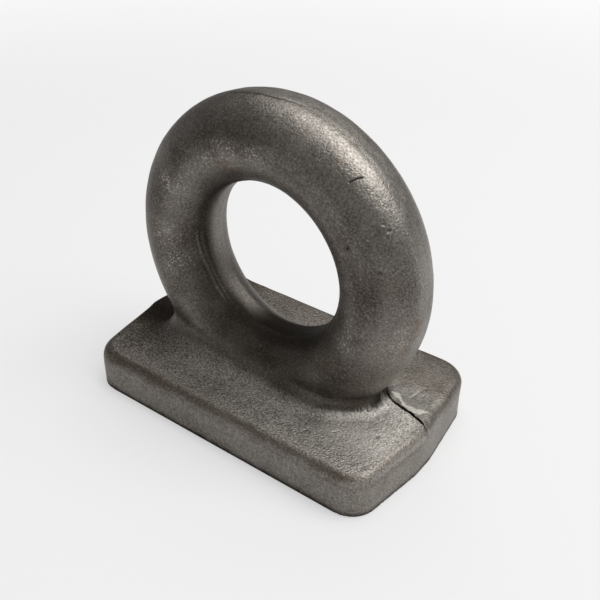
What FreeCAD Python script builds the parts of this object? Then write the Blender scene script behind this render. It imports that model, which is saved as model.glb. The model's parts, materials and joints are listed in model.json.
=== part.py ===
import FreeCAD, Part
import Sketcher
import math
import os

# Weld-on eye plate: a heavy eye ring and its base plate, forged as one piece in a pair of dies.
# The dies close on the middle plane of the ring, so every face that runs across that plane has draft,
# and the trimmed flash stands as a low flat band all the way round.
# +X runs along the base, +Y through the eye, +Z up from the weld face. Millimetres.
# The origin is on the weld face, under the middle of the eye.

DOCUMENT = "EyePlate"
NODE = "eye_plate"

# Driving sizes: alias, value, meaning
SIZES = [
    ("EyeDiameter", 80.0, "bore of the eye, at the land left by the punch"),
    ("LandWidth", 9.4, "straight punched land inside the eye, along its axis"),
    ("RingDepth", 40.4, "round section of the ring, from front to back"),
    ("EyeHeight", 84.5, "axis of the eye above the weld face"),
    ("BaseLength", 177.0, "base along its length, under the flash"),
    ("BaseFront", 51.0, "front of the base, from the middle plane"),
    ("BaseBack", 54.5, "back of the base, from the middle plane"),
    ("BaseThickness", 24.5, "base at its middle plane, under the flash"),
    ("CrownRadius", 700.0, "draft of the base top, as one long arc from front to back"),
    ("EndDraft", 7.5, "degrees that the end faces fall away from the middle plane"),
    ("CornerRadius", 16.0, "upright corners of the base"),
    ("EndBlend", 25.0, "blend between an end's flat middle and its drafted flanks"),
    ("TopEdgeRadius", 5.0, "top edge of the base"),
    ("WeldEdgeRadius", 1.5, "edge round the weld face"),
    ("FootRadius", 12.0, "fillet where the ring runs into the base"),
    ("FlashWidth", 9.0, "trimmed flash band, across the middle plane"),
    ("FlashHeight", 0.2, "how far the flash band stands proud"),
]

# From the eye's axis to the middle of the ring's round section, which the punch cuts to its land
SECTION_CENTRE = "Sizes.EyeDiameter / 2 + sqrt(Sizes.RingDepth ^ 2 - Sizes.LandWidth ^ 2) / 2"

XY, XZ, YZ = "XY_Plane", "XZ_Plane", "YZ_Plane"
X_AXIS, Y_AXIS, ORIGIN = -1, -2, -1
START, END, CENTRE = 1, 2, 3
TOLERANCE = 0.01


def make_sheet(doc):
    sheet = doc.addObject("Spreadsheet::Sheet", "Sizes")
    for row, (alias, value, meaning) in enumerate(SIZES, start=1):
        sheet.set("A%d" % row, meaning)
        sheet.set("B%d" % row, str(value))
        sheet.setAlias("B%d" % row, alias)
    doc.recompute()


def origin_plane(body, role):
    for feature in body.Origin.OriginFeatures:
        if feature.Role == role:
            return feature
    raise ValueError(role)


def new_sketch(body, name, role):
    sketch = body.newObject("Sketcher::SketchObject", name)
    sketch.AttachmentSupport = [(origin_plane(body, role), "")]
    sketch.MapMode = "FlatFace"
    return sketch


def point(x, y):
    return FreeCAD.Vector(x, y, 0)


def add_line(sketch, first, last, construction=False):
    return sketch.addGeometry(Part.LineSegment(first, last), construction)


def add_arc(sketch, centre, radius, start, stop):
    # anticlockwise from start to stop, in degrees
    circle = Part.Circle(centre, FreeCAD.Vector(0, 0, 1), radius)
    return sketch.addGeometry(Part.ArcOfCircle(circle, math.radians(start), math.radians(stop)), False)


def tie(sketch, kind, *parts):
    sketch.addConstraint(Sketcher.Constraint(kind, *parts))


def drive(sketch, name, constraint, expression):
    index = sketch.addConstraint(constraint)
    sketch.renameConstraint(index, name)
    sketch.setExpression("Constraints." + name, expression)


def edges_where(shape, test):
    return ["Edge%d" % (i + 1) for i, edge in enumerate(shape.Edges) if test(edge)]


def round_edges(doc, body, name, base, edges, size_name):
    fillet = body.newObject("PartDesign::Fillet", name)
    fillet.Base = (base, edges)
    fillet.setExpression("Radius", "Sizes." + size_name)
    doc.recompute()
    return fillet


# Base plate

def base_plan(body, size):
    # eight-cornered plan: each end is flat under the flash and falls away by the draft beside it
    half_length, half_flash = size["BaseLength"] / 2, size["FlashWidth"] / 2
    front, back, draft = size["BaseFront"], size["BaseBack"], size["EndDraft"]
    slope = math.tan(math.radians(draft))
    front_x = half_length - slope * (front - half_flash)
    back_x = half_length - slope * (back - half_flash)
    corners = [
        point(half_length, -half_flash), point(half_length, half_flash),
        point(back_x, back), point(-back_x, back),
        point(-half_length, half_flash), point(-half_length, -half_flash),
        point(-front_x, -front), point(front_x, -front)]
    sketch = new_sketch(body, "BasePlan", XY)
    for i, corner in enumerate(corners):
        add_line(sketch, corner, corners[(i + 1) % len(corners)])
    for i in range(len(corners)):
        tie(sketch, "Coincident", i, END, (i + 1) % len(corners), START)
    end_right, flank_back, side_back, _, end_left, _, side_front, flank_front = range(8)
    for first, first_end, second, second_end, axis in (
            (end_right, START, end_right, END, X_AXIS),
            (end_left, START, end_left, END, X_AXIS),
            (end_right, START, end_left, END, Y_AXIS),
            (side_back, START, side_back, END, Y_AXIS),
            (side_front, START, side_front, END, Y_AXIS)):
        tie(sketch, "Symmetric", first, first_end, second, second_end, axis)
    rule = Sketcher.Constraint
    drive(sketch, "Length", rule("DistanceX", end_left, END, end_right, START, 2 * half_length),
          "Sizes.BaseLength")
    drive(sketch, "Front", rule("DistanceY", side_front, END, ORIGIN, START, front), "Sizes.BaseFront")
    drive(sketch, "Back", rule("DistanceY", ORIGIN, START, side_back, START, back), "Sizes.BaseBack")
    drive(sketch, "Flash", rule("DistanceY", end_right, START, end_right, END, 2 * half_flash),
          "Sizes.FlashWidth")
    drive(sketch, "BackDraft", rule("Angle", flank_back, math.radians(90 + draft)),
          "(90 + Sizes.EndDraft) * 1 deg")
    drive(sketch, "FrontDraft", rule("Angle", flank_front, math.radians(90 - draft)),
          "(90 - Sizes.EndDraft) * 1 deg")
    return sketch


def crown_profile(body, size):
    # all that stands above one long arc from front to back
    thickness, radius = size["BaseThickness"], size["CrownRadius"]
    reach = size["BaseFront"] + size["BaseBack"]
    side_z = thickness - radius + math.sqrt(radius ** 2 - reach ** 2)
    lid_z = 2 * thickness
    sketch = new_sketch(body, "CrownProfile", YZ)
    crown = Part.Arc(point(reach, side_z), point(0, thickness), point(-reach, side_z))
    arc = sketch.addGeometry(crown, False)
    side = add_line(sketch, point(-reach, side_z), point(-reach, lid_z))
    lid = add_line(sketch, point(-reach, lid_z), point(reach, lid_z))
    other_side = add_line(sketch, point(reach, lid_z), point(reach, side_z))
    for first, second in ((arc, side), (side, lid), (lid, other_side), (other_side, arc)):
        tie(sketch, "Coincident", first, END, second, START)
    tie(sketch, "Vertical", side)
    tie(sketch, "Symmetric", lid, START, lid, END, Y_AXIS)
    tie(sketch, "Symmetric", arc, START, arc, END, Y_AXIS)
    rule = Sketcher.Constraint
    drive(sketch, "Reach", rule("DistanceX", lid, START, lid, END, 2 * reach),
          "2 * (Sizes.BaseFront + Sizes.BaseBack)")
    drive(sketch, "Lid", rule("DistanceY", ORIGIN, START, lid, START, lid_z), "2 * Sizes.BaseThickness")
    drive(sketch, "Crown", rule("Radius", arc, radius), "Sizes.CrownRadius")
    drive(sketch, "Centre", rule("DistanceY", arc, CENTRE, ORIGIN, START, radius - thickness),
          "Sizes.CrownRadius - Sizes.BaseThickness")
    return sketch


def crown_faces(shape, size):
    return [face for face in shape.Faces
            if isinstance(face.Surface, Part.Cylinder)
            and abs(face.Surface.Radius - size["CrownRadius"]) < TOLERANCE]


def upright_edges(shape, front, back):
    # names of the upright edges at these distances in front of and behind the middle plane
    def is_one(edge):
        low, high = edge.Vertexes[0].Point, edge.Vertexes[-1].Point
        upright = math.hypot(low.x - high.x, low.y - high.y) < TOLERANCE
        return upright and min(abs(low.y + front), abs(low.y - back)) < TOLERANCE
    return edges_where(shape, is_one)


def add_base(doc, body, size):
    block = body.newObject("PartDesign::Pad", "BaseBlock")
    block.Profile = base_plan(body, size)
    block.setExpression("Length", "Sizes.BaseThickness")
    doc.recompute()
    uprights = upright_edges(block.Shape, size["BaseFront"], size["BaseBack"])
    corners = round_edges(doc, body, "Corners", block, uprights, "CornerRadius")
    kinks = upright_edges(corners.Shape, size["FlashWidth"] / 2, size["FlashWidth"] / 2)
    round_edges(doc, body, "EndBlends", corners, kinks, "EndBlend")

    crown = body.newObject("PartDesign::Pocket", "Crown")
    crown.Profile = crown_profile(body, size)
    crown.Type = "ThroughAll"
    crown.Midplane = True
    doc.recompute()
    border = [edge for face in crown_faces(crown.Shape, size) for edge in face.OuterWire.Edges]
    top = edges_where(crown.Shape, lambda edge: any(edge.isSame(other) for other in border))
    rounded = round_edges(doc, body, "TopEdge", crown, top, "TopEdgeRadius")
    foot = edges_where(rounded.Shape, lambda edge: max(v.Z for v in edge.Vertexes) < TOLERANCE)
    round_edges(doc, body, "WeldEdge", rounded, foot, "WeldEdgeRadius")


# Ring

def section_centre(size):
    # SECTION_CENTRE as a number, for the sketches' first positions
    return size["EyeDiameter"] / 2 + math.sqrt(size["RingDepth"] ** 2 - size["LandWidth"] ** 2) / 2


def ring_section(body, size):
    # a circle above the eye's axis, in a back and a front half, cut off square by the land
    axis_z = size["EyeHeight"]
    bore, land, radius = size["EyeDiameter"] / 2, size["LandWidth"] / 2, size["RingDepth"] / 2
    lean = math.degrees(math.asin(land / radius))
    sketch = new_sketch(body, "RingSection", YZ)
    flat = add_line(sketch, point(-land, axis_z + bore), point(land, axis_z + bore))
    centre = point(0, axis_z + section_centre(size))
    back = add_arc(sketch, centre, radius, lean - 90, 90)
    front = add_arc(sketch, centre, radius, 90, 270 - lean)
    axis = add_line(sketch, point(-radius, axis_z), point(radius, axis_z), True)
    tie(sketch, "Coincident", flat, END, back, START)
    tie(sketch, "Coincident", back, END, front, START)
    tie(sketch, "Coincident", front, END, flat, START)
    tie(sketch, "Coincident", back, CENTRE, front, CENTRE)
    tie(sketch, "PointOnObject", back, END, Y_AXIS)
    tie(sketch, "Symmetric", flat, START, flat, END, Y_AXIS)
    tie(sketch, "Symmetric", axis, START, axis, END, Y_AXIS)
    rule = Sketcher.Constraint
    drive(sketch, "Land", rule("DistanceX", flat, START, flat, END, 2 * land), "Sizes.LandWidth")
    drive(sketch, "Depth", rule("Radius", back, radius), "Sizes.RingDepth / 2")
    drive(sketch, "Axis", rule("DistanceX", axis, START, axis, END, 2 * radius), "Sizes.RingDepth")
    drive(sketch, "Bore", rule("DistanceY", axis, START, flat, START, bore), "Sizes.EyeDiameter / 2")
    drive(sketch, "Height", rule("DistanceY", ORIGIN, START, axis, START, axis_z), "Sizes.EyeHeight")
    return sketch


def add_ring(doc, body, size):
    section = ring_section(body, size)
    ring = body.newObject("PartDesign::Revolution", "Ring")
    ring.Profile = section
    ring.ReferenceAxis = (section, ["Axis0"])
    ring.Angle = 360
    doc.recompute()
    seams = [edge for face in crown_faces(ring.Shape, size) for edge in inner_edges(face)]
    seam = edges_where(ring.Shape, lambda edge: any(edge.isSame(other) for other in seams))
    round_edges(doc, body, "Foot", ring, seam, "FootRadius")


def inner_edges(face):
    return [edge for wire in face.Wires if not wire.isSame(face.OuterWire) for edge in wire.Edges]


# Flash

def flash_outline(body, size):
    # the trimmed line over base, feet and ring in one closed run, anticlockwise, and the eye inside it
    proud = size["FlashHeight"]
    side_x = size["BaseLength"] / 2 + proud
    top_z = size["BaseThickness"] + proud
    toe, edge, foot = size["WeldEdgeRadius"], size["TopEdgeRadius"] + proud, size["FootRadius"] - proud
    axis_z, inside = size["EyeHeight"], section_centre(size)
    ring = inside + size["RingDepth"] / 2 + proud
    foot_z = top_z + foot
    foot_x = math.sqrt((ring + foot) ** 2 - (axis_z - foot_z) ** 2)
    lean = math.degrees(math.atan2(axis_z - foot_z, foot_x))

    sketch = new_sketch(body, "FlashOutline", XZ)
    bottom = add_line(sketch, point(toe - side_x, 0), point(side_x - toe, 0))
    toe_right = add_arc(sketch, point(side_x - toe, toe), toe, 270, 360)
    side_right = add_line(sketch, point(side_x, toe), point(side_x, top_z - edge))
    edge_right = add_arc(sketch, point(side_x - edge, top_z - edge), edge, 0, 90)
    top_right = add_line(sketch, point(side_x - edge, top_z), point(foot_x, top_z))
    foot_right = add_arc(sketch, point(foot_x, foot_z), foot, 180 - lean, 270)
    crest = add_arc(sketch, point(0, axis_z), ring, -lean, 180 + lean)
    foot_left = add_arc(sketch, point(-foot_x, foot_z), foot, 270, 360 + lean)
    top_left = add_line(sketch, point(-foot_x, top_z), point(edge - side_x, top_z))
    edge_left = add_arc(sketch, point(edge - side_x, top_z - edge), edge, 90, 180)
    side_left = add_line(sketch, point(-side_x, top_z - edge), point(-side_x, toe))
    toe_left = add_arc(sketch, point(toe - side_x, toe), toe, 180, 270)
    eye = sketch.addGeometry(Part.Circle(point(0, axis_z), FreeCAD.Vector(0, 0, 1), inside), False)

    # the two feet are hollow, so their arcs run the other way round
    for first, first_end, second, second_end in (
            (bottom, END, toe_right, START), (toe_right, END, side_right, START),
            (side_right, END, edge_right, START), (edge_right, END, top_right, START),
            (top_right, END, foot_right, END), (foot_right, START, crest, START),
            (crest, END, foot_left, END), (foot_left, START, top_left, START),
            (top_left, END, edge_left, START), (edge_left, END, side_left, START),
            (side_left, END, toe_left, START), (toe_left, END, bottom, START)):
        tie(sketch, "Tangent", first, first_end, second, second_end)
    for line in (bottom, top_right, top_left):
        tie(sketch, "Horizontal", line)
    for line in (side_right, side_left):
        tie(sketch, "Vertical", line)
    tie(sketch, "PointOnObject", bottom, START, X_AXIS)
    tie(sketch, "PointOnObject", crest, CENTRE, Y_AXIS)
    tie(sketch, "Coincident", eye, CENTRE, crest, CENTRE)
    tie(sketch, "Symmetric", side_right, START, side_left, END, Y_AXIS)
    tie(sketch, "Symmetric", top_right, START, top_left, END, Y_AXIS)
    tie(sketch, "Equal", foot_right, foot_left)
    rule = Sketcher.Constraint
    drive(sketch, "Side", rule("DistanceX", side_left, END, side_right, START, 2 * side_x),
          "Sizes.BaseLength + 2 * Sizes.FlashHeight")
    drive(sketch, "Top", rule("DistanceY", ORIGIN, START, top_right, START, top_z),
          "Sizes.BaseThickness + Sizes.FlashHeight")
    drive(sketch, "Toe", rule("Radius", toe_right, toe), "Sizes.WeldEdgeRadius")
    drive(sketch, "Edge", rule("Radius", edge_right, edge), "Sizes.TopEdgeRadius + Sizes.FlashHeight")
    drive(sketch, "Foot", rule("Radius", foot_right, foot), "Sizes.FootRadius - Sizes.FlashHeight")
    drive(sketch, "Crest", rule("Radius", crest, ring),
          SECTION_CENTRE + " + Sizes.RingDepth / 2 + Sizes.FlashHeight")
    drive(sketch, "Axis", rule("DistanceY", ORIGIN, START, crest, CENTRE, axis_z), "Sizes.EyeHeight")
    drive(sketch, "Inside", rule("Radius", eye, inside), SECTION_CENTRE)
    return sketch


def add_flash(doc, body, size):
    # the band reaches into the metal of the ring down to the middle of its section
    band = body.newObject("PartDesign::Pad", "FlashBand")
    band.Profile = flash_outline(body, size)
    band.Midplane = True
    band.setExpression("Length", "Sizes.FlashWidth")
    doc.recompute()


# The part

def build(doc):
    size = {alias: value for alias, value, _ in SIZES}
    make_sheet(doc)
    body = doc.addObject("PartDesign::Body", "EyePlateBody")
    body.Label = NODE
    body.Placement = FreeCAD.Placement()
    add_base(doc, body, size)
    add_ring(doc, body, size)
    add_flash(doc, body, size)
    return body


def check(doc, body):
    for item in doc.Objects:
        if "Invalid" in item.State or "Error" in item.State:
            raise RuntimeError("%s failed" % item.Name)
    shape = body.Shape
    if shape.isNull() or not shape.isValid() or len(shape.Solids) != 1 or shape.Volume <= 0:
        raise RuntimeError("%s is not one valid solid" % body.Label)


def main():
    doc = FreeCAD.newDocument(DOCUMENT)
    body = build(doc)
    doc.recompute()
    check(doc, body)
    os.makedirs("parts", exist_ok=True)
    body.Shape.exportStep("parts/%s.step" % body.Label)
    print("%s: %.1f cm3" % (body.Label, body.Shape.Volume / 1000))


main()
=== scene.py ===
import json
import math

import bmesh
import bpy
import numpy as np
from mathutils import Matrix, Vector, noise


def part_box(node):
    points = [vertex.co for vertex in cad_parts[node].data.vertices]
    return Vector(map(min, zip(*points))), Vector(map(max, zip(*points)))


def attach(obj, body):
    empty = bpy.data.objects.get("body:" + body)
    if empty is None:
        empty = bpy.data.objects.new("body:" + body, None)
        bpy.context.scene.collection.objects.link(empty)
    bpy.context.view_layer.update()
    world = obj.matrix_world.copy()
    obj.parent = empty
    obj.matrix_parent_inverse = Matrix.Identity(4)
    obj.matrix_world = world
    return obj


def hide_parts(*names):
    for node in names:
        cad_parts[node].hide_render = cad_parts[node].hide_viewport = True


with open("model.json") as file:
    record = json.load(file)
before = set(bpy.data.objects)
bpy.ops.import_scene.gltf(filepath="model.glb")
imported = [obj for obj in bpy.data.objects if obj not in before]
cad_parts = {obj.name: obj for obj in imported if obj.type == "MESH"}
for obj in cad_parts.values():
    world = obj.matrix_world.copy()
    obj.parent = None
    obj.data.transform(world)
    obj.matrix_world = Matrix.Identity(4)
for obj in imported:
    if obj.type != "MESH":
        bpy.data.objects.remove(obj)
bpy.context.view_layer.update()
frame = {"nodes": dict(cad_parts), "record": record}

# The forging's sizes in millimetres: the eye from its mount, the reach from the node's box. The ring's
# section is an ellipse that the land of the eye cuts off.
MM = 0.001
NODE = "eye_plate"
MOUNTS = {mount["name"]: mount for mount in frame["record"]["mounts"]}
EYE_RADIUS = MOUNTS["eye"]["dims"]["r_mm"]
LAND_HALF = MOUNTS["eye"]["dims"]["length_mm"] / 2
EYE_HEIGHT = MOUNTS["eye"]["pos_m"][2] / MM
LOW, HIGH = (np.array(corner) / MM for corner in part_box(NODE))
RIM_RADIUS = HIGH[2] - EYE_HEIGHT
SECTION_DEPTH = 20.8
FLASH_HEIGHT = 0.2
LAND_CUT = 1 - math.sqrt(1 - (LAND_HALF / SECTION_DEPTH) ** 2)
SECTION_WIDTH = (RIM_RADIUS - EYE_RADIUS) / 2 * (1 + LAND_CUT / 2) - FLASH_HEIGHT / 2
SECTION_CENTRE = RIM_RADIUS - FLASH_HEIGHT - SECTION_WIDTH
BOX_GAP = 0.05
TOP = 24.4
CROWN_RADIUS = 700.0
END_DRAFT = 7.5
FRONT_CORNER = 14.0
BACK_CORNER = 17.0
FLASH_HALF = 4.7
FLASH_FRONT = 9.0

# How this one forging differs from the drawing: the eye stands off to the left, the back of the ring is
# fuller at the top, and the inside of its front is fuller at the upper left
EYE_SHIFT = 0.45
BACK_FULLER = 1.5
BACK_ANGLE = 110.0
INNER_FULLER = 1.2
INNER_ANGLE = 130.0
# The trimmed rim: how far the section would rise above it, which sets where its front crease lies
RIM_RISE = 0.33
RIM_RISE_CHANGE = 0.07
RIM_CREASE = 0.1
RIM_CREASE_RIGHT = 0.3
RIM_SOFT = 1.6
# The top edge: at the front a round of EDGE_RADIUS that would end EDGE_RISE above the top, which cuts it in
# a crease, fainter at the left end. Behind the lap and along the back it is a plain round.
EDGE_RADIUS = 7.2
EDGE_RISE = 1.2
LEFT_CREASE = 0.35
SOFT_EDGE_RADIUS = 6.5
BACK_EDGE_RADIUS = 5.0
WELD_EDGE_RADIUS = 1.1
# The fillet round the ring's foot: in the middle, in front of and behind the left foot, and at the right foot
FOOT_RADIUS = 11.0
LEFT_FOOT_RADIUS = 14.0
LEFT_BACK_FOOT_RADIUS = 8.9
RIGHT_FOOT_RADIUS = 6.0

# The lap at the right end: x and y of its open crack, and the sheared strip behind it as x, y and half-width
CRACK = (
    (57.0, 8.6), (60.6, 7.5), (63.9, 6.6), (67.7, 5.5), (71.7, 4.5),
    (75.8, 3.9), (79.1, 2.9), (82.7, 1.4), (86.2, 0.0), (91.0, -1.0),
)
CRACK_X, CRACK_Y = zip(*CRACK)
CRACK_WIDTH = 0.5
CRACK_DEPTH = 1.5
CRACK_TOP = 31.0
STRIP = (
    (62.8, 11.4, 1.3), (64.8, 11.2, 1.5), (67.1, 9.9, 0.8), (70.2, 7.0, 0.8), (72.3, 6.6, 1.0),
    (74.3, 6.4, 1.3), (77.0, 6.0, 1.8), (78.8, 6.4, 1.9), (80.2, 7.8, 1.3), (82.0, 8.9, 0.5),
)
LAP_RISE = 0.4
LAP_RUN = 1.0
# How much higher the top stands at its back right corner, and at its left end behind the parting line
BACK_RISE = 1.8
LEFT_RISE = 1.7

# The mesh: its voxel, the step of the slopes, the rounds that draw its points to the surface, and the rounds
# that spread them evenly at the ring's feet
VOXEL = 1.3
SLOPE_STEP = 0.02
FIRST_ROUNDS = 4
LAST_ROUNDS = 3
EVEN_ROUNDS = 8
# The zone of the feet: how far out along X it starts, and its reach up Z
FEET_OUT = 25
FEET_UP = (20, 50)
# Where the mesh is finer: the reach along Y of the rim's and the ridges' zones, how far from the land's edges
# and from the weld edge, the reach from before the lap's crack to behind it, and how far from the crack itself
RIM_ZONE = (-7.5, -0.5)
RIDGE_ZONE = (-14, -6)
LAND_ZONE = 1.8
WELD_ZONE = 2.6
CRACK_ZONE = (-2.5, 9)
CRACK_EDGE_ZONE = 1.8

# The skin: how far it lies below the surface on average, and its waves as height, size and seed
SKIN_DEPTH = 0.12
SKIN_WAVES = ((0.2, 34, 1), (0.12, 11, 2), (0.05, 4, 3))

# Camera, fitted to the outline of the part in the photograph
IMAGE_SIZE = 600
SENSOR = 36.0
FOCAL_PIXELS = 853.4
CAMERA_AZIMUTH = 36.04
CAMERA_ELEVATION = 33.10
CAMERA_ROLL = 1.23
CAMERA_DISTANCE = 410.5
CAMERA_TARGET = (12.9, -0.09, 64.64)

# Light, in metres and watts: soft lamps high behind the part on its right and above it, in a dim room.
# Each lamp: azimuth from +Y towards +X, elevation, distance, size, power
WORLD_STRENGTH = 0.22
LAMPS = {"key": (67.0, 60.0, 2.2, 1.5, 31.0), "top": (-32.0, 73.0, 2.2, 1.6, 16.5)}
FLOOR_SIZE = 6.0
FLOOR_COLOUR = (0.78, 0.78, 0.78, 1)
# Share of the floor that the camera sees as plain white, which lightens its shadow. It grows to all of it
# between two distances from the part, in metres.
FLOOR_WHITE = 0.5
FLOOR_FADE = (0.4, 1.2)


# Smooth changes from 0 to 1

def step(value, start, end):
    """Smooth change from 0 at start to 1 at end, which may be the smaller one."""
    t = np.clip((value - start) / (end - start), 0, 1)
    return t * t * (3 - 2 * t)


def span(value, empty, full, last=None, end=None):
    """Smooth change from 0 at empty to 1 at full and, where they are given, from 1 at last to 0 at end."""
    share = step(value, empty, full)
    return share if end is None else share * step(value, end, last)


def area(values, fades):
    """1 inside an area and 0 outside: each value, such as x or y, has its own fade, as span takes it."""
    share = 1.0
    for value, fade in zip(values, fades):
        share = share * span(value, *fade)
    return share


def dome(gap, reach):
    """1 in the middle of a mark, falling round to 0 at its reach."""
    return np.maximum(1 - (gap / reach) ** 2, 0)


def within(value, low, high):
    return (value > low) & (value < high)


# Distance functions of the forging, in millimetres

def ball_join(a, b, slope, radius):
    """Union of two bodies with a rolling-ball fillet. slope is the product of their surface directions."""
    slope = np.clip(slope, -0.95, 0.95)
    u, v = a - radius, b - radius
    reach = np.sqrt(np.maximum((u ** 2 + v ** 2 - 2 * u * v * slope) / (1 - slope ** 2), 0))
    return np.where((u < slope * v) & (v < slope * u), radius - reach, np.minimum(a, b))


def soft_cut(a, b, reach):
    """What two bodies share, with the edge softened where they are nearer than reach."""
    near = np.maximum(reach - np.abs(a - b), 0) / reach
    return np.maximum(a, b) + near ** 2 * reach / 4


def rounded_cut(a, b, radius):
    """What two bodies share, with a rounded edge."""
    outside = np.hypot(np.maximum(radius + a, 0), np.maximum(radius + b, 0))
    return np.minimum(-radius, np.maximum(a, b)) + outside


def plan_outline(radius):
    """Corners of the base's outline, anticlockwise, moved inward by a radius."""
    slope = math.tan(math.radians(END_DRAFT))
    end, back, front = HIGH[0] - BOX_GAP, HIGH[1] - BOX_GAP, LOW[1]
    back_end = end - slope * (back - FLASH_HALF)
    front_end = end + slope * (front + FLASH_FRONT)
    right = [(front_end, front), (end, -FLASH_FRONT), (end, FLASH_HALF), (back_end, back)]
    corners = [Vector(corner) for corner in right + [(-x, y) for x, y in reversed(right)]]
    runs = [(b - a).normalized() for a, b in zip(corners, corners[1:] + corners[:1])]
    inner = []
    for corner, before, after in zip(corners, runs[-1:] + runs[:-1], runs):
        inward = (before.orthogonal() + after.orthogonal()) / (1 + before.dot(after))
        inner.append(tuple(corner + inward * radius))
    return inner


def run_distance(x, y, start, end):
    """Distance in plan from a straight run between two places, and the share of its length."""
    (ax, ay), (bx, by) = start, end
    run_x, run_y = bx - ax, by - ay
    share = np.clip(((x - ax) * run_x + (y - ay) * run_y) / (run_x ** 2 + run_y ** 2), 0, 1)
    return np.hypot(x - ax - share * run_x, y - ay - share * run_y), share


def polygon_distance(x, y, corners):
    """Distance in plan from a polygon with its corners anticlockwise, below 0 inside."""
    inside = np.full(len(x), -np.inf)
    nearest = np.full(len(x), np.inf)
    for (ax, ay), (bx, by) in zip(corners, corners[1:] + corners[:1]):
        nearest = np.minimum(nearest, run_distance(x, y, (ax, ay), (bx, by))[0])
        outward = ((x - ax) * (by - ay) - (y - ay) * (bx - ax)) / math.hypot(bx - ax, by - ay)
        inside = np.maximum(inside, outward)
    return np.where(inside > 0, nearest, inside)


def side_distance(x, y):
    """Distance from the base's outline in plan."""
    front = polygon_distance(x, y, plan_outline(FRONT_CORNER)) - FRONT_CORNER
    back = polygon_distance(x, y, plan_outline(BACK_CORNER)) - BACK_CORNER
    return np.where(y > 0, back, front)


def behind_crack(x, y):
    """Distance behind the crack of the lap, along the width of the base."""
    return y - np.interp(x, CRACK_X, CRACK_Y)


def top_height(x, y):
    """Height of the crowned base top, which is higher behind the lap, at one corner and at the left end."""
    lap = LAP_RISE * span(behind_crack(x, y), 0, LAP_RUN, 4, 16) * step(x, 55, 63)
    corner = BACK_RISE * step(y, 12, 50) * step(x, 20, 65)
    left_end = LEFT_RISE * step(y, -9, -1) * step(x, -60, -76)
    return TOP + lap + corner + left_end - y ** 2 / (2 * CROWN_RADIUS)


def base_distance(x, y, z):
    """Distance from the base, with its top edge creased at the front."""
    lapped = step(behind_crack(x, y), -1, 4) * step(x, 60, 75)
    at_back = step(y, 12, 30)
    creased = (1 - lapped) * (1 - at_back) * (LEFT_CREASE + (1 - LEFT_CREASE) * step(x, -75, -25))
    radius = EDGE_RADIUS + (SOFT_EDGE_RADIUS - EDGE_RADIUS) * lapped
    radius += (BACK_EDGE_RADIUS - radius) * at_back
    above = z - top_height(x, y)
    body = rounded_cut(side_distance(x, y), above - EDGE_RISE * creased, radius)
    return rounded_cut(np.maximum(body, above), -z, WELD_EDGE_RADIUS)


def eye_polar(x, z):
    """Radius and angle about the eye."""
    return np.hypot(x, z - EYE_HEIGHT), np.arctan2(z - EYE_HEIGHT, x)


def turned(angle, degrees):
    """1 at an angle about the eye, falling to -1 on the far side."""
    return np.cos(angle - math.radians(degrees))


def ring_distance(x, y, z):
    """Distance from the ring, and the upward part of its surface direction."""
    radius, angle = eye_polar(x, z)
    radius, _ = eye_polar(x + EYE_SHIFT * (1 - step(radius, SECTION_CENTRE - 8, SECTION_CENTRE + 8)), z)
    rise = (RIM_RISE + RIM_RISE_CHANGE * np.cos(2 * angle)) * step(turned(angle, 0), -0.5, 0.2)
    inner = SECTION_WIDTH + INNER_FULLER * np.maximum(turned(angle, INNER_ANGLE), 0) ** 2 * (y < 0)
    width = np.where(radius > SECTION_CENTRE, RIM_RADIUS + rise - SECTION_CENTRE, inner)
    depth = np.where(y > 0, SECTION_DEPTH + BACK_FULLER * turned(angle, BACK_ANGLE), SECTION_DEPTH)
    across, along = (radius - SECTION_CENTRE) / width, y / depth
    ring = (np.hypot(across, along) - 1) * (width + depth) / 2
    crease = RIM_CREASE + RIM_CREASE_RIGHT * step(turned(angle, 10), 0.1, 0.4)
    ring = soft_cut(ring, radius - RIM_RADIUS, crease + (RIM_SOFT - crease) * step(y, -1, 2))
    upward = across / width * (z - EYE_HEIGHT) / radius / np.hypot(across / width, along / depth)
    return np.maximum(ring, EYE_RADIUS - radius), upward


def foot_radius(x, y):
    """Radius of the fillet between the ring and the base."""
    left = LEFT_FOOT_RADIUS + (LEFT_BACK_FOOT_RADIUS - LEFT_FOOT_RADIUS) * step(y, -24, -4)
    right = (RIGHT_FOOT_RADIUS - FOOT_RADIUS) * step(x, 15, 56)
    return FOOT_RADIUS + (left - FOOT_RADIUS) * step(x, -15, -50) + right


def distance(points):
    """Distance from the forging, below 0 inside."""
    x, y, z = points.T
    ring, upward = ring_distance(x, y, z)
    return ball_join(ring, base_distance(x, y, z), upward, foot_radius(x, y))


def gradient(points):
    """Slopes of the distance, which point outward."""
    slopes = []
    for axis in range(3):
        shift = np.zeros(3)
        shift[axis] = SLOPE_STEP
        slopes.append((distance(points + shift) - distance(points - shift)) / (2 * SLOPE_STEP))
    return np.stack(slopes, 1)


def to_surface(points, rounds):
    """Moves points to the surface of the forging."""
    for _ in range(rounds):
        slope = gradient(points)
        steep = np.maximum((slope ** 2).sum(1), 0.25)
        points = points - (distance(points) / steep)[:, None] * slope
    return points


# Mesh of the forging

def get_points(mesh):
    """The points of a mesh in millimetres."""
    flat = np.empty(3 * len(mesh.vertices), np.float32)
    mesh.vertices.foreach_get("co", flat)
    return flat.reshape(-1, 3).astype(float) / MM


def set_points(mesh, points):
    mesh.vertices.foreach_set("co", (points * MM).astype(np.float32).ravel())
    mesh.update()


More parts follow.
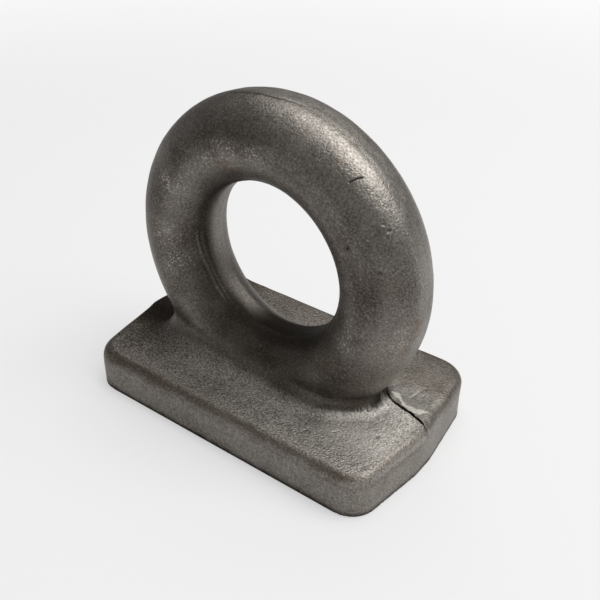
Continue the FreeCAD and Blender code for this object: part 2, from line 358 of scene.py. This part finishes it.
def voxel_mesh():
    """An even mesh of the node's solid."""
    rough = bpy.data.objects.new("rough", frame["nodes"][NODE].data.copy())
    bpy.context.collection.objects.link(rough)
    voxels = rough.modifiers.new("voxels", "REMESH")
    voxels.mode = "VOXEL"
    voxels.voxel_size = VOXEL * MM
    mesh = bpy.data.meshes.new_from_object(rough.evaluated_get(bpy.context.evaluated_depsgraph_get()))
    bpy.data.objects.remove(rough)
    return mesh


def even_out(mesh, points, rounds):
    """Spreads the points evenly where the foot of the ring has been drawn in."""
    pairs = np.empty(2 * len(mesh.edges), np.int32)
    mesh.edges.foreach_get("vertices", pairs)
    first, second = pairs.reshape(-1, 2).T
    shares = np.bincount(pairs, minlength=len(points))[:, None]
    zone = ((np.abs(points[:, 0]) > FEET_OUT) & within(points[:, 2], *FEET_UP))[:, None]
    for _ in range(rounds):
        sums = np.zeros_like(points)
        np.add.at(sums, first, points[second])
        np.add.at(sums, second, points[first])
        points = to_surface(np.where(zone, (points + sums / shares) / 2, points), 1)
    return points


def refine(mesh, wanted):
    """Halves the edges whose ends are both in the wanted zone."""
    inside = wanted(get_points(mesh))
    work = bmesh.new()
    work.from_mesh(mesh)
    work.verts.ensure_lookup_table()
    edges = [edge for edge in work.edges if inside[edge.verts[0].index] and inside[edge.verts[1].index]]
    bmesh.ops.subdivide_edges(work, edges=edges, cuts=1, use_grid_fill=True)
    work.to_mesh(mesh)
    work.free()


def near_edges(points):
    """The parting line of the rim, the edges of the land, the punch ridges, the weld edge and the crack."""
    x, y, z = points.T
    radius, _ = eye_polar(x, z)
    rim = (radius > SECTION_CENTRE) & within(y, *RIM_ZONE)
    land = (radius < EYE_RADIUS + 1) & (np.abs(np.abs(y) - LAND_HALF) < LAND_ZONE)
    ridges = (radius < RIDGE_RADII[0]) & within(y, *RIDGE_ZONE) & (x < -15) & (z < 100)
    weld_edge = (z < WELD_ZONE) & (side_distance(x, y) > -WELD_ZONE)
    return rim | land | ridges | weld_edge | near_crack(points)


def near_crack(points):
    """The crack of the lap and the sheared strip behind it."""
    x, y, z = points.T
    return (x > 56) & within(z, 12, 34) & within(behind_crack(x, y), *CRACK_ZONE)


def at_crack(points):
    """The edges of the crack."""
    x, y, _ = points.T
    return near_crack(points) & (np.abs(behind_crack(x, y)) < CRACK_EDGE_ZONE)


def wave(points, size, seed):
    """Smooth noise between about -1 and 1, with features of the given size."""
    places = points / size + np.array((17.3, 5.1, 9.7)) * seed
    return np.array([noise.noise(Vector(place)) for place in places])


# Marks on the forging, as places and sizes in millimetres

def place_distance(points, place):
    """Distance of each point from a place."""
    return np.linalg.norm(points - np.array(place), axis=1)


def scratch_distance(points, start, end):
    """Distance of each point from a straight scratch between two places."""
    start, run = np.array(start), np.array(end) - np.array(start)
    share = np.clip((points - start) @ run / (run @ run), 0, 1)
    return np.linalg.norm(points - start - share[:, None] * run, axis=1)


def ring_place(radius, angle, depth):
    """A place on the front of the ring: radius and angle about the eye, and depth along Y."""
    turn = math.radians(angle)
    return radius * math.cos(turn), -depth, EYE_HEIGHT + radius * math.sin(turn)


# The nick on the rim, and how far round it the mesh is finer
NICK = (ring_place(74.2, 50.9, 14.8), ring_place(76.1, 50.5, 12.6), ring_place(77.4, 49.8, 10.6))
NICK_WIDTH = 0.5
NICK_DEPTH = 0.8
NICK_ZONE = 2.2
# The dark line on the rim's front crease, left of the top: its angles about the eye and its places along Y,
# the angles where it fades in and out, and the radius that it lies outside
LINE_ANGLES = (66, 77, 89, 103, 112)
LINE_PLACES = (-3.0, -2.2, -4.6, -4.7, -4.9)
LINE_FADE = (76, 88, 104, 112)
LINE_RADIUS = 70
LINE_WIDTH = 0.6
LINE_DEPTH = 0.4
# Two fine ridges left by the punch on the inside of the left limb: their angles and places along Y, the
# angles and the radii where they fade, and their spacing
RIDGE_ANGLES = (180, 204, 232)
RIDGE_PLACES = (-10.7, -8.7, -9.2)
RIDGE_FADE = (172, 182, 222, 234)
RIDGE_RADII = (47, 44)
RIDGE_SPACING = 2.0
RIDGE_WIDTH = 0.8
RIDGE_HEIGHT = 0.35
SECOND_RIDGE = 0.7
# Pits, as place, radius and depth, and how far round them the mesh is finer
PIT_ZONE = 1.2
PITS = (
    (ring_place(76.7, 32.0, 11.8), 1.2, 0.5), (ring_place(60.4, 31.7, 20.8), 1.3, 0.5),
    (ring_place(70.1, 20.2, 17.8), 1.2, 0.35), (ring_place(75.9, 34.5, 12.3), 1.1, 0.4),
    ((72.5, -19.9, 24.1), 1.6, 0.4), ((66.0, -26.0, 23.9), 1.2, 0.35), ((71.0, -9.0, 24.3), 0.9, 0.3),
    ((64.0, -13.0, 24.3), 0.8, 0.3),
)
# The scuffed patch behind the lap, and the groove across it
PATCH_PLACE = (70.0, 18.5)
PATCH_SIZE = (7.0, 6.0)
GROOVE = ((70.6, 13.6, 25.0), (72.4, 24.0, 24.6))
GROOVE_WIDTH = 1.0
GROOVE_DEPTH = 0.2
GROOVE_ZONE = 2.0
# Patches on the ring where the scale is worn through in specks: place, as ring_place takes it, and size
WORN = (
    (54.8, 147.3, 20.2, 7), (60.3, 149.4, 20.8, 6), (58.0, 88.7, 20.7, 6), (58.7, 103.5, 20.8, 8),
    (52.2, -165.5, 19.3, 8), (55.2, 178.9, 20.3, 8), (75.6, -8.7, 12.7, 5), (76.1, -4.6, 12.1, 4),
    (55.3, -18.0, 20.3, 6), (55.3, -8.4, 20.3, 6), (75.8, 74.7, 12.5, 3), (77.9, 76.0, 8.9, 3),
)


def crack_share(points):
    """1 in the middle of the open crack, 0 beside it and past its ends."""
    x, y, z = points.T
    gap = behind_crack(x, y) + 0.3 * wave(points, 3.0, 7)
    width = CRACK_WIDTH * (0.9 + 0.2 * step(x, 64, 76) - 0.4 * step(x, 80, 88))
    ends = step(x, 57.5, 60) * (1 - 0.5 * step(x, 82, 88)) * span(z, 17, 21, CRACK_TOP, CRACK_TOP + 1)
    return dome(gap, width) * ends


def line_share(points):
    """1 on the dark line of the rim."""
    x, y, z = points.T
    radius, angle = eye_polar(x, z)
    angle = np.degrees(angle)
    gap = y - np.interp(angle, LINE_ANGLES, LINE_PLACES) - 0.3 * wave(points, 5, 11)
    return dome(gap, LINE_WIDTH) * span(angle, *LINE_FADE) * (radius > LINE_RADIUS)


def ridge_height(points):
    """Height of the two fine ridges on the inside of the left limb."""
    x, y, z = points.T
    radius, angle = eye_polar(x, z)
    angle = np.degrees(angle) % 360
    gap = y - np.interp(angle, RIDGE_ANGLES, RIDGE_PLACES) + 0.3 * wave(points, 8, 12)
    ridges = np.maximum(dome(gap, RIDGE_WIDTH), SECOND_RIDGE * dome(gap - RIDGE_SPACING, RIDGE_WIDTH))
    return RIDGE_HEIGHT * ridges * span(angle, *RIDGE_FADE) * step(radius, *RIDGE_RADII)


def nick_share(points):
    """1 in the middle of the nick."""
    gaps = [scratch_distance(points, start, end) for start, end in zip(NICK, NICK[1:])]
    return dome(np.minimum(*gaps), NICK_WIDTH)


def pit_depth(points):
    """Depth of the pits."""
    depth = np.zeros(len(points))
    for place, radius, deep in PITS:
        depth = np.maximum(depth, deep * dome(place_distance(points, place), radius))
    return depth


def mark_depth(points):
    """How far the marks go below the surface."""
    groove = GROOVE_DEPTH * dome(scratch_distance(points, *GROOVE), GROOVE_WIDTH)
    depth = np.maximum.reduce((NICK_DEPTH * nick_share(points), pit_depth(points), groove))
    return depth + CRACK_DEPTH * crack_share(points) + LINE_DEPTH * line_share(points) - ridge_height(points)


def near_marks(points):
    """The nick, the pits and the groove."""
    near = scratch_distance(points, *GROOVE) < GROOVE_ZONE
    for start, end in zip(NICK, NICK[1:]):
        near |= scratch_distance(points, start, end) < NICK_ZONE
    for place, radius, _ in PITS:
        near |= place_distance(points, place) < radius + PIT_ZONE
    return near


# Where the finish changes, from 0 to 1

def strip_mask(points):
    """The bright sheared strip behind the crack."""
    x, y, z = points.T
    outside = np.full(len(points), np.inf)
    for (*start, start_width), (*end, end_width) in zip(STRIP, STRIP[1:]):
        gap, share = run_distance(x, y, start, end)
        outside = np.minimum(outside, gap - start_width - share * (end_width - start_width))
    return step(outside + 0.7 * wave(points, 1.8, 8), 0.3, -0.2) * span(z, 20, 22, 28, 31)


def crack_mask(points):
    """Darkest in the crack, the nick, the pits and the rim's dark line."""
    crack = np.minimum(2.5 * crack_share(points), 1)
    pits = np.minimum(1.6 * pit_depth(points), 0.7)
    return np.maximum.reduce((crack, line_share(points), 0.7 * nick_share(points), pits))


def patch_mask(points):
    """The scuffed patch behind the lap."""
    x, y, z = points.T
    reach = np.hypot((x - PATCH_PLACE[0]) / PATCH_SIZE[0], (y - PATCH_PLACE[1]) / PATCH_SIZE[1])
    return step(reach + 0.35 * wave(points, 4.0, 9), 1.1, 0.7) * span(z, 20, 23, 28, 32)


def top_mask(points):
    """The rough top of the base, outside the smooth foot of the ring."""
    x, _, z = points.T
    limit = 31 - 3.5 * step(x, -35, 0) - 1.6 * step(x, 20, 50) + 0.6 * wave(points, 9, 10)
    return span(z, 17, 21, limit - 1.6, limit + 1.2)


def lap_mask(points):
    """The right end of the base behind its lap."""
    x, y, _ = points.T
    return step(behind_crack(x, y), 0, 1) * step(x, 50, 62)


def land_mask(points):
    """The punched land of the eye."""
    x, _, z = points.T
    radius, _ = eye_polar(x + EYE_SHIFT, z)
    return step(radius, EYE_RADIUS + 0.5, EYE_RADIUS + 0.15)


# Places by how strong they are and their fades along X, Y and Z.
# Painted shade in the hollows: the front of the ring's foot, the fillet under it, and the right foot
SHADED_HOLLOWS = (
    (0.75, (-45, -12, 30, 52), (2, -4), (29, 33.5, 42, 88)),
    (0.4, (0, 18, 22, 36), (2, -4), (26, 29, 33, 45)),
    (0.5, (46, 58), (17, 13), (25, 28, 34, 48)),
)
# Painted shade at the right foot and behind the left limb
PAINTED_SHADE_PLACES = (
    (0.85, (50, 57), (-11, -2, 13, 17), (25, 26.5, 34, 48)),
    (0.8, (-54, -66), (-26, -10), (20, 24, 34, 44)),
)
# The fades of the painted light, a bright place between the right foot and the lap
PAINTED_LIGHT_FADES = ((36, 54, 80, 86), (-42, -22), (22.5, 23.8, 25.6, 27))


def places_mask(points, places):
    """The strongest of some places at each point."""
    return np.maximum.reduce([strength * area(points.T, fades) for strength, *fades in places])


def hollow_shade_mask(points):
    """Painted shade in the hollows at the ring's foot."""
    return places_mask(points, SHADED_HOLLOWS)


def painted_light_mask(points):
    """Painted light: a bright place on the top, which ends at the crack of the lap."""
    x, y, _ = points.T
    return area(points.T, PAINTED_LIGHT_FADES) * step(behind_crack(x, y), 0, -1.5)


def painted_shade_mask(points):
    """Painted shade in the eye above the foot, at the right foot, behind the left limb and along the weld
    edge.
    """
    x, y, z = points.T
    radius, angle = eye_polar(x, z)
    # Painted shade low in the eye, on the flank and the land, and under the lip
    shaded_flank = 0.72 * step(turned(angle, 282), 0.3, 0.8)
    land = step(turned(angle, 299), 0.47, 0.82)
    inside = np.where(y < -5, shaded_flank, land) * step(radius, 45, 41.5) * step(y, 9, 5)
    shaded_lip = (0.8 - 0.35 * step(turned(angle, 185), 0.5, 0.9)) * step(radius, 44, 41)
    shaded_lip *= step(y, -0.5 - 3 * step(x, 0, 30), -5.5)
    # Painted contact shadow along the weld edge
    weld_edge = 0.8 * step(z + 0.5 * wave(points, 6, 14), 2.8, 0.8) * (1 - 0.7 * step(x, 66, 78))
    return np.maximum.reduce((inside, shaded_lip, weld_edge, places_mask(points, PAINTED_SHADE_PLACES)))


# Painted highlight and shade on the front of the ring, brighter, or darker where the change is below 0: the
# change, the angle about the eye, the cosines of the turn from there at which the place ends and is full, and
# its radii
RING_LIGHT_PLACES = (
    (0.24, 55, (0.70, 0.97), (54, 66)),
    (-0.11, -24, (0.92, 0.98), (44, 48, 62, 70)),
    (-0.12, 33, (0.90, 0.98), (62, 69, 74, 79)),
    (0.06, -14, (0.90, 0.97), (58, 66)),
    (-0.08, 207, (0.75, 0.95), (43, 47, 52, 58)),
    (0.14, 199, (0.93, 0.98), (63, 69)),
)


def ring_wear_and_light(points):
    """Wear of the ring, with painted shade on a belt round its front and in the eye, painted highlights, and a
    lighter rim.
    """
    x, y, z = points.T
    radius, angle = eye_polar(x, z)
    front = step(y, -2, -8)
    # Painted shade: a darker belt round the front of the ring
    shaded_belt = (0.14 + 0.05 * step(turned(angle, 30), 0.2, 0.9)) * step(z, 60, 100) * span(radius, 54, 60, 65, 72)
    wear_and_light = 0.26 - shaded_belt * front
    # Painted highlight and shade by place
    for change, place, fade, radii in RING_LIGHT_PLACES:
        wear_and_light += change * step(turned(angle, place), *fade) * span(radius, *radii) * front
    # The trimmed rim behind the front crease is lighter, and painted lighter still toward the highlight
    right_side = step(turned(angle, 85), 0.9, 0.6)
    rim = (0.18 + 0.18 * step(turned(angle, 55), 0.6, 0.95)) * step(radius, 60, 74)
    wear_and_light += rim * step(y, -4.5 - 4 * right_side, -1.5 - 2 * right_side)
    # Painted shade on the flank and under the lip in the eye, and in the hollows
    shaded_flank = 0.7 * step(radius, 50, 43) * step(turned(angle, 225), 0.3, 0.8) * step(y, -4, -6)
    shaded_lip = 0.6 * step(radius, 44, 41) * step(turned(angle, 140), 0.75, 0.95) * step(y, -4.5, -6)
    wear_and_light *= 1 - 0.9 * np.maximum.reduce((hollow_shade_mask(points), shaded_flank, shaded_lip))
    wear_and_light += 0.3 * ridge_height(points) / RIDGE_HEIGHT
    # The punched land is lighter, with painted shade at the bottom of the eye
    land = 0.36 - 0.27 * step(turned(angle, 250), 0.3, 0.9)
    return wear_and_light + land_mask(points) * land * step(y, -4.5, 2)


# Painted light and shade on the base's top, by how much they change the wear and their fades along X and Y.
# Painted light: the front of the right end, and its back corner
TOP_LIT_PLACES = ((0.25, (30, 75), (5, -8)), (0.12, (60, 72), (22, 34)))
# Painted shade: the left end, in front of the ring's foot, and the back of the right end
TOP_SHADED_PLACES = ((0.8, (-40, -72), (-58, -15)), (0.2, (0, 15, 40, 52), (-31, -25)), (0.25, (40, 60), (18, 28)))


def top_wear_and_light(points):
    """Wear of the base's top, painted lighter from left to right, with painted light and shade by place."""
    x, y, _ = points.T
    # Painted light growing from left to right, then painted light and shade by place
    wear_and_light = 0.36 + 0.3 * step(x, -60, 40) - 0.03 * lap_mask(points)
    for change, *fades in TOP_LIT_PLACES:
        wear_and_light += change * area((x, y), fades)
    for change, *fades in TOP_SHADED_PLACES:
        wear_and_light *= 1 - change * area((x, y), fades)
    return wear_and_light


def wall_wear_and_light(points):
    """Wear of the base's sides, painted lighter at the right end, with a painted contact shadow at the weld
    edge.
    """
    x, _, z = points.T
    # Painted contact shadow along the weld edge
    weld_edge = 0.15 + 0.85 * step(z + 0.8 * wave(points, 6, 14), 0.8, 4)
    return (0.42 + 0.12 * step(x, 76, 86)) * weld_edge


def wear_and_light_mask(points):
    """How far the dark scale is worn off, with painted light and shade laid in."""
    ring, top = ring_wear_and_light(points), top_mask(points)
    wall = step(points[:, 2], 19, 15) * (1 - top)
    return ring + (top_wear_and_light(points) - ring) * top + (wall_wear_and_light(points) - ring) * wall


def rough_mask(points):
    """Strength of the grain, which is weaker on the back, in the hollows, on the land and behind the lap."""
    ring = 0.42 - 0.2 * step(points[:, 1], -5, -3)
    ring *= 1 - 0.7 * hollow_shade_mask(points)
    ring *= 1 - 0.5 * land_mask(points)
    return ring + (1.1 - 0.75 * lap_mask(points) - ring) * top_mask(points)


def speck_mask(points):
    """Patches where the scale is worn through in specks, and a faint arc of them above the eye."""
    x, y, z = points.T
    radius, angle = eye_polar(x, z)
    specks = 0.4 * span(radius, 47, 53, 56, 62) * step(turned(angle, 122), 0.7, 0.95) * (y < -10)
    for *place, size in WORN:
        gap = place_distance(points, ring_place(*place))
        specks = np.maximum(specks, step(gap, size * 1.3, size * 0.2))
    return specks


def edge_mask(points):
    """Brown scale under the crease of the base's top edge, and fainter on the back of the base."""
    x, y, z = points.T
    below = top_height(x, y) - z + 1.2 * wave(points, 8, 13)
    band = step(side_distance(x, y), -5.0, -3.4) * step(below, 5.0, 1.5) * step(z, 28, 26)
    back = 0.5 * (1 - band) * step(y, 14, 24) * span(z, 15, 18, 27, 30)
    return band * (0.8 + 0.2 * step(x, 50, 66) - 0.5 * step(x, 74, 82)) + back


MASKS = {
    "wear_and_light": wear_and_light_mask, "rough": rough_mask, "specks": speck_mask, "strip": strip_mask, "patch": patch_mask,
    "edge": edge_mask, "land": land_mask, "crack": crack_mask, "painted_shade": painted_shade_mask, "painted_light": painted_light_mask,
}


def add_masks(mesh, points):
    """Stores each mask on the mesh, where the material reads it."""
    for name, mask in MASKS.items():
        layer = mesh.attributes.new(name, "FLOAT", "POINT")
        layer.data.foreach_set("value", mask(points).astype(np.float32))


# The piece

def forging_mesh():
    """An even mesh on the forging's surface, finer at its edges and marks, with its skin and its marks."""
    mesh = voxel_mesh()
    set_points(mesh, even_out(mesh, to_surface(get_points(mesh), FIRST_ROUNDS), EVEN_ROUNDS))
    for zone in (near_edges, near_crack, at_crack, near_marks, near_marks):
        refine(mesh, zone)
    points = to_surface(get_points(mesh), LAST_ROUNDS)
    add_masks(mesh, points)
    outward = gradient(points)
    outward /= np.linalg.norm(outward, axis=1)[:, None]
    height = sum(rise * wave(points, size, seed) for rise, size, seed in SKIN_WAVES)
    height -= SKIN_DEPTH + mark_depth(points)
    above_weld_face = step(points[:, 2], 0, 3)
    set_points(mesh, np.clip(points + outward * (height * above_weld_face)[:, None], LOW, HIGH))
    mesh.polygons.foreach_set("use_smooth", [True] * len(mesh.polygons))
    return mesh


def add_piece():
    """The dressed forging, which stands for its node."""
    mesh = forging_mesh()
    mesh.name = "forging"
    mesh.materials.clear()
    mesh.materials.append(steel_material())
    piece = bpy.data.objects.new("forging", mesh)
    bpy.context.collection.objects.link(piece)
    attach(piece, "root")
    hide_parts(NODE)


# Materials

def new_material(name):
    """An empty node material with its output node."""
    material = bpy.data.materials.new(name)
    material.use_nodes = True
    material.node_tree.nodes.clear()
    output = material.node_tree.nodes.new("ShaderNodeOutputMaterial")
    return material, material.node_tree, output


class Nodes:
    """Short calls that add nodes to a material's tree."""

    def __init__(self, tree):
        self.tree = tree
        coordinates = tree.nodes.new("ShaderNodeTexCoord")
        self.place = coordinates.outputs["Object"]

    def add(self, kind, **values):
        node = self.tree.nodes.new("ShaderNode" + kind)
        for name, value in values.items():
            setattr(node, name, value)
        return node

    def feed(self, node, **inputs):
        """Links or sets a node's inputs, by their names or, as i0, i1 and so on, by their numbers."""
        for name, value in inputs.items():
            numbered = name[0] == "i" and name[1:].isdigit()
            socket = node.inputs[int(name[1:]) if numbered else name]
            if isinstance(value, bpy.types.NodeSocket):
                self.tree.links.new(value, socket)
            else:
                socket.default_value = value
        return node

    def noise(self, size, detail=2.0, rough=0.5, stretch=None):
        """Noise from 0 to 1 with features of a size in millimetres."""
        place = self.place
        if stretch:
            place = self.feed(self.add("Mapping"), Vector=place, Scale=stretch).outputs[0]
        texture = self.feed(self.add("TexNoise"), Vector=place, Scale=1 / (size * MM))
        return self.feed(texture, Detail=detail, Roughness=rough).outputs["Fac"]

    def noise_around(self, *size_and_detail):
        """The same noise from -0.5 to 0.5."""
        return self.math("SUBTRACT", self.noise(*size_and_detail), 0.5)

    def math(self, operation, first, second=0.0):
        return self.feed(self.add("Math", operation=operation), i0=first, i1=second).outputs[0]

    def plus(self, first, second):
        return self.math("ADD", first, second)

    def times(self, first, second):
        return self.math("MULTIPLY", first, second)

    def span(self, value, low, high, start=0.0, end=1.0, interpolation="LINEAR"):
        """Value from low..high to start..end, clamped."""
        node = self.add("MapRange", interpolation_type=interpolation)
        limits = {"From Min": low, "From Max": high, "To Min": start, "To Max": end}
        return self.feed(node, Value=value, **limits).outputs[0]

    def mix(self, share, first, second):
        """Mix of two colours by the share of the second."""
        return self.feed(self.add("Mix", data_type="RGBA"), i0=share, i6=first, i7=second).outputs[2]

    def mask(self, name):
        """A mask that the mesh holds."""
        return self.add("Attribute", attribute_name=name).outputs["Fac"]

    def bump(self, height, distance, normal=None):
        """Bump of a height in millimetres."""
        node = self.feed(self.add("Bump"), Height=height, Distance=distance * MM, Strength=1.0)
        if normal:
            self.tree.links.new(normal, node.inputs["Normal"])
        return node.outputs[0]


# Colours of the steel
DARK_SCALE = (0.066, 0.053, 0.042, 1)
BLASTED_STEEL = (0.520, 0.488, 0.445, 1)
BROWN_SCALE = (0.110, 0.083, 0.056, 1)
RUST = (0.170, 0.085, 0.045, 1)
WORN_STEEL = (0.52, 0.49, 0.45, 1)
# Colour of the painted light on the top between the right foot and the lap
PAINTED_LIGHT_STEEL = (0.86, 0.82, 0.76, 1)
FRESH_STEEL = (0.66, 0.63, 0.55, 1)
# Colour of the painted shade in the eye, at the feet, behind the left limb and along the weld edge
PAINTED_SHADE_COLOUR = (0.020, 0.016, 0.012, 1)
# Darkest colour, in the crack, the nick, the pits and the rim's dark line
DARK_MARK_COLOUR = (0.012, 0.010, 0.008, 1)
# Its grain: size and detail of the noise, as Nodes.noise takes them, and its depth in millimetres
CLOUDS = (20, 3, 0.55)
MOTTLE = (0.95, 1, 0.4)
STRIAE = (1.0, 2, 0.5, (1.0, 0.15, 1.0))
RUST_CLOUDS, RUST_GRAIN = (14, 4, 0.6), (3, 3)
COARSE_GRAIN, COARSE_DEPTH = (2.3, 1, 0.4), 0.26
FINE_GRAIN, FINE_DEPTH = (0.85, 0.5, 0.4), 0.24
SMALL_PITS, SMALL_PIT_DEPTH = (2.0, 1, 0.4), 0.15
GLOSS_CLOUDS = (5, 3, 0.6)


def worn_and_lit_share(n, masks, mottle):
    """How much grey steel shows through the scale: wear and painted light by place, clouded, mottled and
    scratched.
    """
    share = masks["wear_and_light"]
    striae = n.noise_around(*STRIAE)
    for part in (
        n.times(n.noise_around(*CLOUDS), 0.45),
        n.times(mottle, n.plus(n.times(masks["wear_and_light"], 1.1), n.times(masks["rough"], 0.7))),
        n.times(masks["specks"], 0.08),
        n.times(masks["patch"], n.plus(n.times(striae, 1.2), 0.12)),
        n.times(masks["land"], n.times(striae, 0.1)),
    ):
        share = n.plus(share, part)
    return share


def steel_colour(n, masks):
    """Dark scale worn to grey, and over it each layer with its share, painted light and shade among them."""
    mottle = n.noise_around(*MOTTLE)
    rust = n.times(n.span(n.noise(*RUST_CLOUDS), 0.60, 0.72), n.span(n.noise(*RUST_GRAIN), 0.4, 0.6))
    dots = n.times(n.span(n.noise(*MOTTLE), 0.58, 0.72), n.plus(masks["specks"], 0.1))
    colour = n.mix(n.span(worn_and_lit_share(n, masks, mottle), 0.0, 1.0), DARK_SCALE, BLASTED_STEEL)
    for share, layer in (
        # Painted light between the right foot and the lap
        (n.times(masks["painted_light"], n.span(mottle, -0.4, 0.25)), PAINTED_LIGHT_STEEL),
        (n.times(masks["edge"], 0.7), BROWN_SCALE),
        (n.times(rust, 0.5), RUST),
        (n.times(dots, 0.75), WORN_STEEL),
        # Painted shade
        (n.times(masks["painted_shade"], 0.9), PAINTED_SHADE_COLOUR),
        (n.times(masks["strip"], n.span(mottle, -0.15, 0.0, 0.7, 1.0)), FRESH_STEEL),
        (masks["crack"], DARK_MARK_COLOUR),
    ):
        colour = n.mix(share, colour, layer)
    return colour


def steel_grain(n, rough):
    """The blasted grain, coarse and fine, and its small pits."""
    pits = n.times(n.span(n.noise(*SMALL_PITS), 0.64, 0.74), rough)
    normal = n.bump(n.times(n.noise(*COARSE_GRAIN), rough), COARSE_DEPTH)
    normal = n.bump(n.times(n.noise(*FINE_GRAIN), n.plus(rough, 0.15)), FINE_DEPTH, normal)
    return n.bump(n.times(pits, -1.0), SMALL_PIT_DEPTH, normal)


def steel_roughness(n, masks):
    """Duller where the grain is strong, on the land, in the painted light, and in the painted shade."""
    dull = n.math("MAXIMUM", masks["land"], masks["painted_light"])
    gloss = n.plus(n.times(masks["rough"], 0.14), n.span(n.noise(*GLOSS_CLOUDS), 0.3, 0.7, 0.36, 0.46))
    return n.plus(n.plus(gloss, n.times(dull, 0.12)), n.times(masks["painted_shade"], 0.25))


def steel_material():
    """Bare shot-blasted forged steel: dark scale worn to grey, painted light and shade, brown edges and one
    fresh sheared strip.
    """
    material, tree, output = new_material("forged_steel")
    n = Nodes(tree)
    masks = {name: n.mask(name) for name in MASKS}
    less_metal = n.math("MAXIMUM", masks["strip"], masks["crack"])
    shader = n.feed(
        n.add("BsdfPrincipled"), Roughness=steel_roughness(n, masks), Normal=steel_grain(n, masks["rough"]),
        Metallic=n.math("SUBTRACT", 1.0, n.times(less_metal, 0.75)), **{"Base Color": steel_colour(n, masks)})
    tree.links.new(shader.outputs[0], output.inputs[0])
    return material


# Camera and surroundings

def camera_axes():
    """Right, up and backward directions of the camera."""
    azimuth, elevation, roll = map(math.radians, (CAMERA_AZIMUTH, CAMERA_ELEVATION, CAMERA_ROLL))
    back = Vector((math.sin(azimuth) * math.cos(elevation), -math.cos(azimuth) * math.cos(elevation),
                   math.sin(elevation)))
    right = Vector((math.cos(azimuth), math.sin(azimuth), 0))
    up = back.cross(right)
    turned_right = right * math.cos(roll) + up * math.sin(roll)
    turned_up = up * math.cos(roll) - right * math.sin(roll)
    return turned_right, turned_up, back


def add_camera():
    """The camera at the viewing angle of the photograph."""
    right, up, back = camera_axes()
    data = bpy.data.cameras.new("camera")
    data.sensor_width = SENSOR
    data.lens = FOCAL_PIXELS / IMAGE_SIZE * SENSOR
    data.clip_start = 0.01
    camera = bpy.data.objects.new("camera", data)
    place = (Vector(CAMERA_TARGET) + back * CAMERA_DISTANCE) * MM
    camera.matrix_world = Matrix.Translation(place) @ Matrix((right, up, back)).transposed().to_4x4()
    bpy.context.collection.objects.link(camera)
    bpy.context.scene.camera = camera


def add_lamp(name, place, size, power):
    """A square soft lamp that points at the part."""
    data = bpy.data.lights.new(name, "AREA")
    data.size = size
    data.energy = power
    lamp = bpy.data.objects.new(name, data)
    lamp.location = place
    lamp.rotation_euler = (-place).to_track_quat("-Z", "Y").to_euler()
    bpy.context.collection.objects.link(lamp)


def floor_material():
    """A pale floor that keeps half of its shadow for the camera, and is plain white far from the part."""
    material, tree, output = new_material("white_floor")
    n = Nodes(tree)
    camera_ray = n.add("LightPath").outputs["Is Camera Ray"]
    far = n.feed(n.add("VectorMath", operation="LENGTH"), i0=n.place).outputs["Value"]
    share = n.times(camera_ray, n.span(far, *FLOOR_FADE, FLOOR_WHITE, 1.0, "SMOOTHSTEP"))
    diffuse = n.feed(n.add("BsdfDiffuse"), Color=FLOOR_COLOUR)
    mix = n.feed(n.add("MixShader"), i0=share, i1=diffuse.outputs[0], i2=n.add("Emission").outputs[0])
    tree.links.new(mix.outputs[0], output.inputs[0])
    return material


def room_world():
    """A dim white room, which the camera sees as white."""
    world = bpy.data.worlds.new("room")
    world.use_nodes = True
    n = Nodes(world.node_tree)
    camera_ray = n.add("LightPath").outputs["Is Camera Ray"]
    background = world.node_tree.nodes["Background"]
    n.feed(background, Color=(1, 1, 1, 1), Strength=n.span(camera_ray, 0.0, 1.0, WORLD_STRENGTH, 1.0))
    return world


def add_surroundings():
    """White floor and world, with the lamps."""
    half = FLOOR_SIZE / 2
    mesh = bpy.data.meshes.new("floor")
    corners = [(-half, -half, 0), (half, -half, 0), (half, half, 0), (-half, half, 0)]
    mesh.from_pydata(corners, [], [(0, 1, 2, 3)])
    mesh.materials.append(floor_material())
    floor = bpy.data.objects.new("floor", mesh)
    bpy.context.collection.objects.link(floor)
    bpy.context.scene.world = room_world()
    for name, (azimuth, elevation, far, size, power) in LAMPS.items():
        azimuth, elevation = math.radians(azimuth), math.radians(elevation)
        level = math.cos(elevation)
        towards = Vector((math.sin(azimuth) * level, math.cos(azimuth) * level, math.sin(elevation)))
        add_lamp(name, towards * far, size, power)


bpy.context.scene.view_settings.view_transform = "Standard"
add_camera()
add_surroundings()
add_piece()
